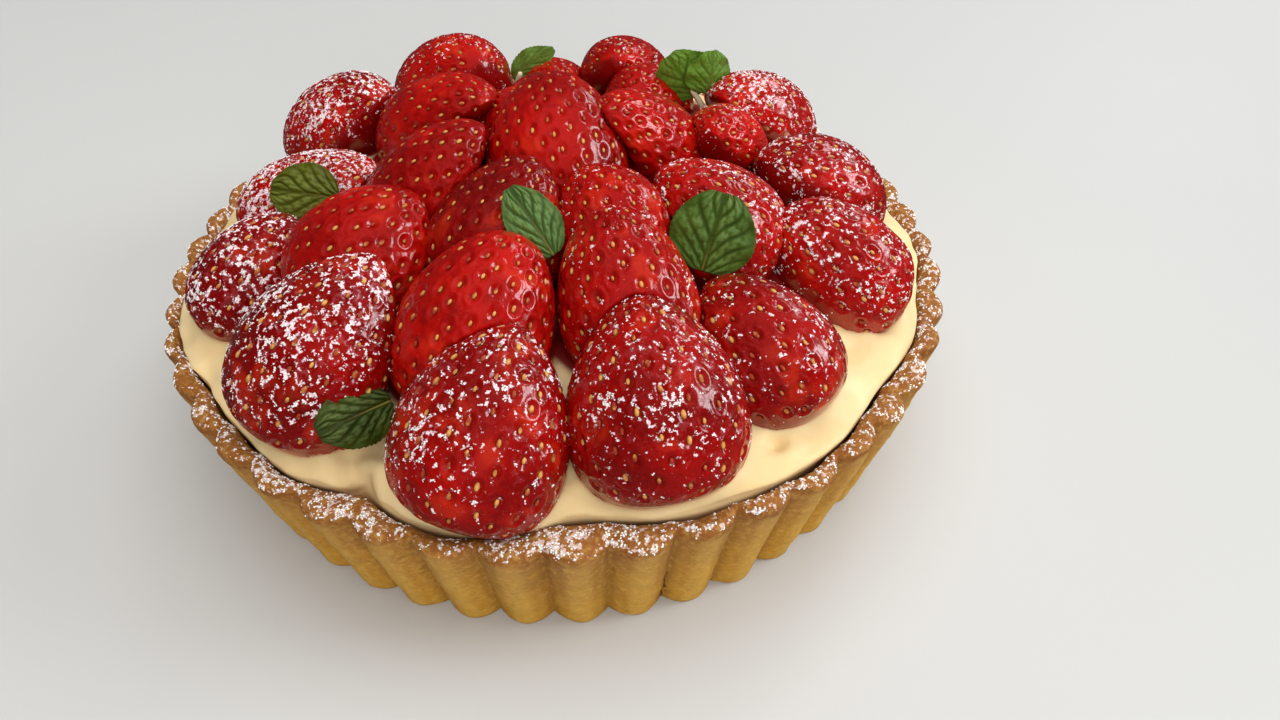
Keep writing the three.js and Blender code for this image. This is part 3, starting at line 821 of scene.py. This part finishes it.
# Painted shade: the dimples' pits are painted a darker red.
base = (pit * 0.35).tint(base, colour(104, 2, 2))
base = (here.noise(2.6 * MM, 2).ramp(0.5, 0.75) * 0.4).tint(base, colour(84, 0, 2))
base = (here.noise(0.6 * MM, 2).ramp(0.5, 0.8) * 0.2).tint(base, colour(214, 44, 18))
# Painted shade: the cut side and the swelling under it are painted dark red, as they lie in shadow.
base = (under * 0.7).tint(base, colour(104, 2, 3))
melted = dusting(here, dust * 1.2, CLUMP_SIZE * 2) * dust
base = (melted * 0.12).tint(base, colour(208, 96, 110))
film = sugar_film(here, dust)
(film * 0.8).tint(base, colour(246, 218, 226)).into(shader, "Base Color")
(0.22 + film * 0.5 + melted * 0.15).into(shader, "Roughness")
(0.4 - film * 0.4).into(shader, "Coat Weight")
relief(here, here.noise(0.8 * MM, 2) + film * 1.5, 0.12 * MM).into(shader, "Normal")

seed_skin, here, shader = new_material("strawberry seed", {"Specular IOR Level": 0.5})
lightness = here.noise(2.2 * MM, 1).ramp(0.38, 0.64)
lightness.tint(colour(150, 54, 28), colour(212, 156, 84)).into(shader, "Base Color")
(0.3 + 0.1 * here.noise(1 * MM)).into(shader, "Roughness")

seeding = berry_tree(skin, seed_skin)
berries = list_berries()
halves = []
for place, berry in enumerate(berries):
    count = int(berry["long"] * berry["wide"] * SEED_FILL / berry["gap"] ** 2)
    across, along, out = (tuple(axis) for axis in berry["axes"])
    half = grown(
        berry["node"].replace("berry", "strawberry"), berry_mesh(berry, berries[:place]), seeding,
        seeds=count, start=berry["number"] * SEED_SHIFT,
        long=berry["long"] * MM, wide=berry["wide"] * MM, point=berry["point"],
        middle=tuple(berry["middle"]), across=across, along=along, out=out,
        dimple_depth=0.62 * MM, dimple_radius=1.3 * MM, seed_size=berry["seed"],
    )
    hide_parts(berry["node"])
    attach(half, "root")
    halves.append(half)


# ---- The pastry cream ----
# A smooth yellow custard cream spooned into the case and domed in the middle. The berries sink into it
# and push it up a little round them. Next to them it is tinted red, partly stained by the berries and
# partly painted shade with the red light they throw on it, and deep between them it is painted dark red
# as painted shade.
CREAM_EDGE_HEIGHT = 33 * MM
CREAM_TOP = (29 * MM, 32 * MM)
CREAM_RISE = 12.5 * MM
CREAM_FLATNESS = 3
CREAM_CLEARANCE = 0.15 * MM
CREAM_WAVE = 0.7
DOME_CALM = 60 * MM
CREAM_COLUMNS = FLUTES * 10
# Its lip: steps below the edge height and in from the wall. Then the radii of the dome's rows.
CREAM_LIP = [(27.7 * MM, 0), (5 * MM, 0), (1.2 * MM, -0.2 * MM), (-0.3 * MM, 0.6 * MM)]
DOME_ROWS = [79 * MM, 70 * MM, 54 * MM, 36 * MM, 18 * MM, 0]
STEPS_BETWEEN = [3, 3, 5, 12, 12, 14, 12, 8, 5]
# Where a spoon or a finger pressed it or heaped it: the place, how wide and how much up, in millimetres.
CREAM_MARKS = [
    (-32.4, -76.5, 3.4, -2.6), (-33.4, -72, 2, -1.9), (-34.5, -69, 1.8, -1.3), (-39, -70.6, 3.8, 1.7),
    (-28, -72.5, 3.4, 1.8), (-25, -77, 3.4, 1.5), (-47, -66, 5, 1.5), (-60, -48, 6, 1.2),
    (-72, -22, 6, -1.2), (44.4, -65.3, 3.9, 1.2), (44.4, -65.3, 2.2, -3), (69.6, -30.9, 2.4, -2.4),
    (64, -36, 4, -1.4), (60, -50, 6, 1.2), (33, -70, 5, 1), (74, -14, 5, 1), (8, -78, 4, 1.4),
    (18, -76, 4, 0.8),
]
# It has shrunk from the wall here and there and has one deep notch, and it sags in a ring near the rim.
CREAM_SHRINK = 1 * MM
NOTCH_AT = math.radians(-113)
NOTCH_SPREAD = math.radians(2.2)
NOTCH_DEPTH = 2.4 * MM
TERRACE_RADIUS = 74 * MM
TERRACE_WIDTH = 9 * MM
TERRACE_DEPTH = 2.6 * MM
# Where the cream behind the rear stalk is painted dark red as painted shade in a deep gap, and how near
# a berry the cream is pushed up. The moulds that take the berries' room out of it have these steps, and
# are this much smaller all round.
SHADED_GAP_BEHIND_STALK = (0.0345, 0.055, 0.04)
PUSHED_WIDTH = 2.2 * MM
MOULD_STEPS = (40, 40, 12)
MOULD_SHRINK = 0.5 * MM


def cream_rows(angle):
    """Radius and height of the cream's guiding rows at each angle."""
    wave = unevenness(angle, 5, 0.7) * CREAM_WAVE
    shrunk = np.clip(unevenness(angle, 9, 3.1) - 0.2, 0, 1) * CREAM_SHRINK
    shrunk += bell((angle - NOTCH_AT) / NOTCH_SPREAD) * NOTCH_DEPTH
    rows = []
    for below, inset in CREAM_LIP:
        height = CREAM_EDGE_HEIGHT - below
        wall = inside_radius(angle, height, 1) - CREAM_CLEARANCE
        top = below < 2 * MM
        rows.append((wall - inset - shrunk * top, height + wave * MM * (below < 20 * MM)))
    for radius in DOME_ROWS:
        height = CREAM_EDGE_HEIGHT + CREAM_RISE * (1 - (radius / RIM_RADIUS) ** CREAM_FLATNESS)
        height -= bell((radius - TERRACE_RADIUS) / TERRACE_WIDTH) * TERRACE_DEPTH
        share = CREAM_WAVE if radius > DOME_CALM else 0
        rows.append((radius - rim_bulge(angle) * share, height + wave * share * MM))
    return np.array(rows)


def cream_mesh():
    """A closed body whose rows run smoothly through the guiding rows."""
    angle = np.arange(CREAM_COLUMNS) * 2 * np.pi / CREAM_COLUMNS + FIRST_FLUTE
    guides = cream_rows(angle)
    slope = (neighbour(guides, 1) - neighbour(guides, -1)) / 2
    rows = []
    for row, steps in enumerate(STEPS_BETWEEN):
        for s in np.arange(steps) / steps:
            rows.append(
                guides[row] * (1 + 2 * s) * (1 - s) ** 2 + guides[row + 1] * s * s * (3 - 2 * s)
                + slope[row] * s * (1 - s) ** 2 + slope[row + 1] * s * s * (s - 1)
            )
    rows = np.array([guides[0] * np.array([[0], [1]]), *rows, guides[-1]])
    radius, height = rows[:, 0], rows[:, 1]
    points = np.stack([radius * np.cos(angle), radius * np.sin(angle), height], -1).reshape(-1, 3)
    on_top = np.interp(points[:, 2], CREAM_TOP, (0, 1))
    for x, y, wide, rise in CREAM_MARKS:
        away = np.hypot(points[:, 0] - x * MM, points[:, 1] - y * MM)
        points[:, 2] += bell(away / (wide * MM)) * on_top * rise * MM
    return merged(new_mesh("cream", points, grid_faces(len(rows), CREAM_COLUMNS)), 0.005 * MM)


def cream_tree(material):
    """Pushes the cream up round the berries, takes their room out of it and marks how near them it lies,
    for a red tint that is partly stained cream and partly painted shade.
    """
    sockets = {"Collection": ["Berries"], "Float": ["Pushed Up", "Waves", "Juice Spread"]}
    tree, given = new_tree("cream round the berries", sockets)
    cream = given["Geometry"]
    links = {"Collection": given["Berries"], "Separate Children": True}
    moulds = cream.node("GeometryNodeCollectionInfo", {}, links)
    solid = moulds.node("GeometryNodeRealizeInstances", {}, {"Geometry": moulds})
    away = cream.node("GeometryNodeProximity", {"target_element": "FACES"}, {0: solid}, "Distance")
    here = cream.node("GeometryNodeInputPosition")
    lumps = here.noise(9 * MM, 1) - 0.5 + (here.noise(3.4 * MM, 1) - 0.5) * 0.2
    waves = lumps * given["Waves"] * here.parts()[2].ramp(31 * MM, 34 * MM)
    cream = swollen(cream, bell(away / PUSHED_WIDTH) * given["Pushed Up"] + waves)
    settings = {"operation": "DIFFERENCE", "solver": "MANIFOLD"}
    cream = cream.node("GeometryNodeMeshBoolean", settings, {0: cream, 1: moulds})
    stain_and_shade = bell(away / given["Juice Spread"])
    end_tree(finished(stored(cream, "juice", stain_and_shade), material))
    return tree


custard, here, shader = new_material("pastry cream", {
    "Subsurface Weight": 0.25, "Subsurface Radius": (1, 0.6, 0.3), "Subsurface Scale": 0.004,
    "Specular IOR Level": 0.4,
})
juice = mesh_value(here, "juice")
height = here.parts()[2]
base = here.noise(18 * MM, 2).ramp(0.35, 0.65).tint(colour(226, 199, 146), colour(234, 209, 160))
# Painted shade: the cream's lowest edge, down in the gap by the wall, is painted brown.
base = ((1 - height.ramp(30 * MM, 32.2 * MM)) * 0.6).tint(base, colour(138, 78, 38))
# Next to the berries a red tint: partly stained cream, partly painted shade with the red light the berries
# throw.
base = (juice.ramp(0.8, 1) * 0.4).tint(base, colour(214, 110, 80))
# Painted shade: the cream deep between the inner berries and in the gap behind the rear stalk is painted a
# mottled dark red, the shade in those gaps, with a little berry staining.
out = here.vector("MULTIPLY", (1, 1, 0)).vector("LENGTH")
soak_and_shade = juice * 1.5 * (1 - out.ramp(63 * MM, 68 * MM)) + 1 - out.ramp(46 * MM, 54 * MM)
blotchy = here.vector("DISTANCE", SHADED_GAP_BEHIND_STALK) + (here.noise(5 * MM, 2) - 0.5) * (9 * MM)
soak_and_shade = (soak_and_shade + 1 - blotchy.ramp(6 * MM, 14 * MM)).ramp(0.1, 0.9)
soak_and_shade_colour = here.noise(4 * MM, 2).ramp(0.4, 0.7).tint(colour(98, 4, 6), colour(128, 18, 14))
soak_and_shade.tint(base, soak_and_shade_colour).into(shader, "Base Color")
(0.42 + 0.1 * here.noise(4 * MM)).into(shader, "Roughness")
relief(here, here.noise(3 * MM, 3), 0.12 * MM).into(shader, "Normal")

moulds = bpy.data.collections.new("berry moulds")
bpy.context.scene.collection.children.link(moulds)
for berry in berries:
    along, over, under = MOULD_STEPS
    points, _, _ = berry_points(berry, along, over, under, MOULD_SHRINK)
    mould = merged(new_mesh("mould", points, grid_faces(along + 1, over + under)), SAME_POINT)
    moulds.objects.link(bpy.data.objects.new("mould", mould))
cream = grown(
    "cream_filling", cream_mesh(), cream_tree(custard),
    berries=moulds, pushed_up=0.7 * MM, waves=3 * MM, juice_spread=2.4 * MM,
)
for mould in list(moulds.objects):
    bpy.data.objects.remove(mould)
bpy.data.collections.remove(moulds)
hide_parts("cream")
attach(cream, "root")


# ---- The mint ----
# Small mint leaves, tucked between the berries. Their skin swells between sunken veins, and their edge
# is finely toothed. Two of the sprigs stand on a pale stalk.
LEAF_THICKNESS = 0.8 * MM
LEAF_RUFFLE = 0.35 * MM
LEAF_SKEW = 0.85
LEAF_ROWS = 72
LEAF_COLUMNS = 48
# Its side veins each side, how far they climb, how wide they are as a share of their gap and how much
# they wander. Then the midrib, the net of finest veins and the height of the swellings between them.
SIDE_VEINS = 4.6
VEIN_RISE = 0.6
VEIN_WIDTH = 0.13
VEIN_WANDER = 0.12
MIDRIB_WIDTH = 0.5 * MM
NET_VEINS = 3.4
NET_WIDTH = 0.15
NET_DEPTH = 0.45
QUILTING = 0.8 * MM
TEETH = 14
TOOTH_DEPTH = 0.3 * MM
STALK_RADIUS = 0.95 * MM
STALK_BOW = 0.5 * MM
STALK_REACH = 0.25
STALK_IN_FRONT = Vector((0, -1.2, 0)) * MM
# Each leaf in millimetres and degrees: the places of its stalk end and tip, the azimuth and height that
# its upper side faces, its width, how round it is, its lift, fold and tone, how quilted it is beside the
# most quilted, and its stalk's foot. The tone is its green with painted light and shade in it: leaves in
# shadow are painted a lighter green as painted light, and the one at the front left a near-black green
# as painted shade.
LEAVES = [
    dict(start=(-48, -7.9, 50.8), tip=(-62.6, -7.4, 53), faces=(-92, 45), wide=14, round=0.6, lift=0.8,
         fold=0.05, tone=(74, 78, 6)),
    dict(start=(-18.2, 65, 43.8), tip=(-5.6, 64, 52.6), faces=(-90, 30), wide=8.5, round=0.8, lift=1.2,
         fold=0.25, tone=(92, 124, 48), quilted=0.4, foot=(-19.8, 65.6, 37.9)),
    dict(start=(33.6, 41.6, 50.4), tip=(25.4, 40.6, 61.4), faces=(-115, 35), wide=16.5, round=0.6, lift=1,
         fold=0.2, tone=(86, 124, 36), quilted=0.5, foot=(37.8, 42.8, 40.6)),
    dict(start=(35.9, 40.2, 51.7), tip=(36.6, 41.2, 62.7), faces=(-60, 30), wide=13.5, round=0.65, lift=1,
         fold=0.3, tone=(86, 124, 36), quilted=0.5),
    dict(start=(2.2, -36.4, 57.2), tip=(-6.4, -28.6, 67.4), faces=(-72, 44), wide=11, round=0.65, lift=0.8,
         fold=0.05, tone=(71, 98, 46)),
    dict(start=(31.2, -33, 50.8), tip=(35.4, -26, 64.6), faces=(-95, 35), wide=17.5, round=0.5, lift=1.2,
         fold=0.1, tone=(61, 85, 26)),
    dict(start=(-26, -63.4, 44.7), tip=(-35.8, -74.1, 47.5), faces=(-68, 52), wide=11.5, round=0.6,
         lift=0.6, fold=0.3, tone=(38, 50, 4)),
]


def leaf_axes(leaf, start, tip):
    """The leaf's own axes as rows: across it, from its stalk end to its tip, and out of its upper side."""
    facing = direction(*(math.radians(angle) for angle in leaf["faces"]))
    along = (tip - start).normalized()
    across = along.cross(facing).normalized()
    return np.array([across, along, across.cross(along)])


def leaf_relief(t, side, x):
    """The midrib, the side veins and the swelling between them, each from 0 to 1."""
    edge = np.abs(side)
    midrib = bell(x / MIDRIB_WIDTH)
    phase = (t - VEIN_RISE * edge ** 0.75) * SIDE_VEINS + 0.25 + VEIN_WANDER * np.sin(side * 5 + t * 7)
    vein = bell((phase - np.round(phase)) / VEIN_WIDTH) * (1 - edge ** 4 * 0.6)
    across_vein = edge * NET_VEINS + np.sin(np.round(phase) * 2.4) + t * 2
    net = bell((across_vein - np.round(across_vein)) / NET_WIDTH)
    swelling = (1 - vein) * (1 - midrib) * (1 - NET_DEPTH * net) * (1 - edge ** 3 * 0.6)
    return midrib, vein, swelling


def leaf_mesh(name, leaf):
    """The blade's two faces, closed at the edge, and its stalk where it has one."""
    start, tip = (Vector(leaf[end]) * MM for end in ("start", "tip"))
    t, side = np.meshgrid(np.linspace(0, 1, LEAF_ROWS), np.linspace(-1, 1, LEAF_COLUMNS), indexing="ij")
    t, side = t.ravel(), side.ravel()
    edge = np.abs(side)
    fullness = np.sin(np.pi * (0.03 + 0.94 * t ** LEAF_SKEW)) ** leaf["round"]
    half = leaf["wide"] / 2 * MM * fullness
    tooth = ((t * TEETH) % 1 - 0.5) * edge ** 5 * fullness * TOOTH_DEPTH
    x = side * half + np.sign(side) * tooth
    midrib, vein, swelling = leaf_relief(t, side, x)
    swelling = 0.5 + (swelling - 0.5) * leaf.get("quilted", 1)
    bow = leaf["lift"] * MM * 4 * t * (1 - t)
    droop = leaf["fold"] * half * edge
    ruffle = LEAF_RUFFLE * edge * np.sin(t * 17 + side)
    z = bow - droop + ruffle + (swelling - 0.5) * QUILTING * (1 - edge ** 6)
    thick = LEAF_THICKNESS * (1 - edge ** 12) * (1 - (2 * t - 1) ** 24)
    back = z - thick * (0.7 + 0.3 * midrib)
    axes = leaf_axes(leaf, start, tip)
    y = t * (tip - start).length
    points = np.concatenate([np.stack([x, y, face], 1) @ axes + np.array(start) for face in (z, back)])
    corner = np.arange(LEAF_ROWS * LEAF_COLUMNS).reshape(LEAF_ROWS, LEAF_COLUMNS)
    quads = np.stack([corner[:-1, :-1], corner[:-1, 1:], corner[1:, 1:], corner[1:, :-1]], -1)
    quads = quads.reshape(-1, 4)
    faces = np.concatenate([quads, quads[:, ::-1] + corner.size])
    veins = np.tile(np.maximum(midrib * (1 - 0.3 * t), vein * 0.6), 2)
    crest = np.tile(swelling, 2)
    if "foot" in leaf:
        top = start.lerp(tip, STALK_REACH) + STALK_IN_FRONT
        stalk, stalk_faces = stalk_points(Vector(leaf["foot"]) * MM, top)
        faces = np.concatenate([faces, stalk_faces + len(points)])
        points = np.concatenate([points, stalk])
        veins = np.concatenate([veins, np.full(len(stalk), 1.5)])
        crest = np.concatenate([crest, np.zeros(len(stalk))])
    mesh = new_mesh(name, points, faces.tolist())
    write_attribute(mesh, "vein", veins)
    write_attribute(mesh, "crest", crest)
    tone = mesh.attributes.new("tone", "FLOAT_COLOR", "POINT")
    tone.data.foreach_set("color", np.tile(colour(*leaf["tone"]), len(points)))
    return merged(mesh, 0.01 * MM)


def stalk_points(foot, top, rows=14, sides=12):
    """A round stalk from its foot to the blade, with a slight bow and closed ends."""
    axis = (top - foot).normalized()
    beside = axis.orthogonal().normalized()
    points = []
    for share in np.linspace(0, 1, rows):
        middle = foot.lerp(top, share) + beside * (STALK_BOW * math.sin(math.pi * share))
        radius = STALK_RADIUS * (0.001 if share in (0, 1) else 1 - 0.25 * share)
        for turn in np.linspace(0, 2 * math.pi, sides, endpoint=False):
            points.append(middle + Matrix.Rotation(turn, 3, axis) @ beside * radius)
    return np.array(points), grid_faces(rows, sides)


mint, here, shader = new_material("mint leaf", {
    "Subsurface Weight": 0.05, "Subsurface Scale": 0.001, "Specular IOR Level": 0.4,
})
vein, crest = (mesh_value(here, name) for name in ("vein", "crest"))
# The tone holds painted light and shade as well as the leaf's own green.
base = mesh_value(here, "tone", "Color")
base = (here.noise(6 * MM, 2).ramp(0.35, 0.65) * 0.15).tint(base, colour(104, 120, 40))
# Painted light and shade: the swellings between the veins are painted lighter and the hollows darker, and
# the crests get a pale bluish painted sheen.
base = (0.58 + crest * 0.82).scale(base)
base = (crest.ramp(0.5, 1) * 0.1).tint(base, colour(134, 158, 120))
base = (vein.ramp(0.7, 1) * 0.75).tint(base, colour(136, 122, 56))
vein.ramp(1.2, 1.5).tint(base, colour(238, 238, 204)).into(shader, "Base Color")
(0.45 + 0.15 * here.noise(2 * MM)).into(shader, "Roughness")
relief(here, here.noise(0.7 * MM, 2), 0.15 * MM).into(shader, "Normal")

for number, leaf in enumerate(LEAVES, 1):
    blade = new_object(f"mint_leaf_{number}", leaf_mesh(f"mint_leaf_{number}", leaf))
    blade.data.polygons.foreach_set("use_smooth", [True] * len(blade.data.polygons))
    blade.data.materials.append(mint)
    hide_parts(f"mint_{number}")
    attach(blade, "root")


# ---- The sugar ----
# Icing sugar, sifted over the rim and the outer berries. It lies in small clumps of fine grains and has
# half melted into the wet fruit.
# How many berries count as front ones, how many grains fall on a square metre, and how large they are.
FRONT_BERRIES = 9
BERRY_GRAINS = 6e6
BERRY_GRAIN = 0.32 * MM
RIM_GRAINS = 5e6
RIM_GRAIN = 0.42 * MM
SMALLEST_GRAIN = (0.6, 0.6, 0.5)
LARGEST_GRAIN = (1.5, 1.5, 0.9)


def sugar_tree(material):
    """Scatters grains where a surface carries dust, thickest in its clumps."""
    sockets = {"Collection": ["On"], "Float": ["Grains", "Grain Size"], "Int": ["Seed"]}
    tree, given = new_tree("sifted sugar", sockets)
    start = given["Geometry"]
    surface = start.node("GeometryNodeCollectionInfo", {}, {"Collection": given["On"]})
    surface = surface.node("GeometryNodeRealizeInstances", {}, {"Geometry": surface})
    here = start.node("GeometryNodeInputPosition")
    dust = start.node("GeometryNodeInputNamedAttribute", {"data_type": "FLOAT"}, {"Name": "dust"})
    density = sugar_film(here, dust) * given["Grains"]
    links = {"Mesh": surface, "Density": density, "Seed": given["Seed"]}
    spread = start.node("GeometryNodeDistributePointsOnFaces", {}, links)
    grain = start.node("GeometryNodeMeshUVSphere", {}, {"Segments": 5, "Rings": 3, "Radius": 0.5})
    links = {0: SMALLEST_GRAIN, 1: LARGEST_GRAIN, "Seed": 7}
    shape = start.node("FunctionNodeRandomValue", {"data_type": "FLOAT_VECTOR"}, links)
    scale = given["Grain Size"].scale(shape)
    links = {"Points": spread, "Instance": grain, "Rotation": spread.output("Rotation"), "Scale": scale}
    end_tree(finished(start.node("GeometryNodeInstanceOnPoints", {}, links), material))
    return tree


icing_sugar, here, shader = new_material("icing sugar", {
    "Subsurface Weight": 0.3, "Subsurface Scale": 0.0005, "Specular IOR Level": 0.3,
})
here.noise(5 * MM).tint(colour(250, 244, 242), colour(255, 252, 250)).into(shader, "Base Color")
(0.6 + 0.2 * here.noise(1 * MM)).into(shader, "Roughness")
sifting = sugar_tree(icing_sugar)


def sift(name, pieces, seed, grains, size):
    """A piece of loose sugar on top of these pieces."""
    under = bpy.data.collections.new(name)
    for piece in pieces:
        under.objects.link(piece)
    sugar = grown(name, new_mesh(name, []), sifting, on=under, grains=grains, grain_size=size, seed=seed)
    bpy.data.collections.remove(under)
    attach(sugar, "root")


by_side = sorted(halves, key=lambda half: sum(v.co.y for v in half.data.vertices) / len(half.data.vertices))
sift("sugar_on_front_berries", by_side[:FRONT_BERRIES], 1, BERRY_GRAINS, BERRY_GRAIN)
sift("sugar_on_back_berries", by_side[FRONT_BERRIES:], 2, BERRY_GRAINS, BERRY_GRAIN)
sift("sugar_on_rim", [case], 3, RIM_GRAINS, RIM_GRAIN)
